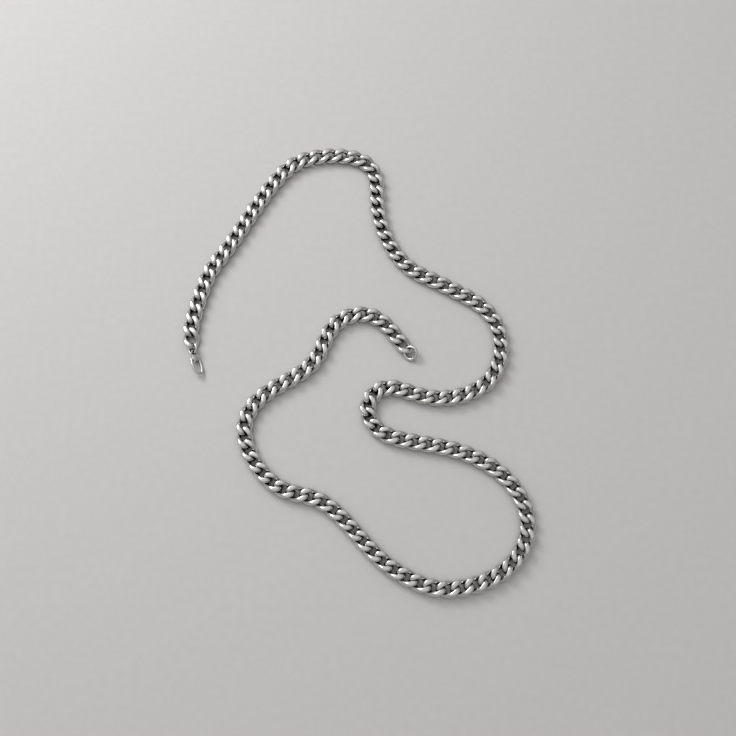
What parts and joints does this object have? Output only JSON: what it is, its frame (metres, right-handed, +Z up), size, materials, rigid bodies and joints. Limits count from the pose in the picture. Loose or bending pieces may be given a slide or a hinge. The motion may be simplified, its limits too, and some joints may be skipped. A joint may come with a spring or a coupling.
{
  "type": "curb chain necklace",
  "caption": "Curb link neck chain with a lobster clasp at one end and a ring at the other, laid open in curves on a flat surface.",
  "frame": {"origin": "under the middle of the laid chain, on the surface that it rests on", "axes": "+X to the right and +Y away from the viewer as the picture shows the laid chain, +Z up"},
  "size_m": [0.1196, 0.161, 0.0035],
  "materials": {
    "chain": "polished steel, worn bright on the crowns and dark in the recesses",
    "clasp": "polished cast steel",
    "rings": "polished steel wire"
  },
  "bodies": {
    "necklace": {"chain_a": "chain", "chain_b": "chain", "clasp_ring": "rings", "clasp_body": "clasp", "clasp_pin": "clasp", "end_ring": "rings"},
    "lever": {"clasp_lever": "clasp"}
  },
  "joints": [
    {"name": "lever_hinge", "type": "hinge", "parent": "necklace", "child": "lever", "pos_m": [-0.05442, -0.0001, 0.00107], "axis": [-0.5218, -0.2011, -0.829], "range_deg": [0, 26], "stiffness_Nm_per_rad": 0.0004, "springref_deg": -17.19}
  ]
}
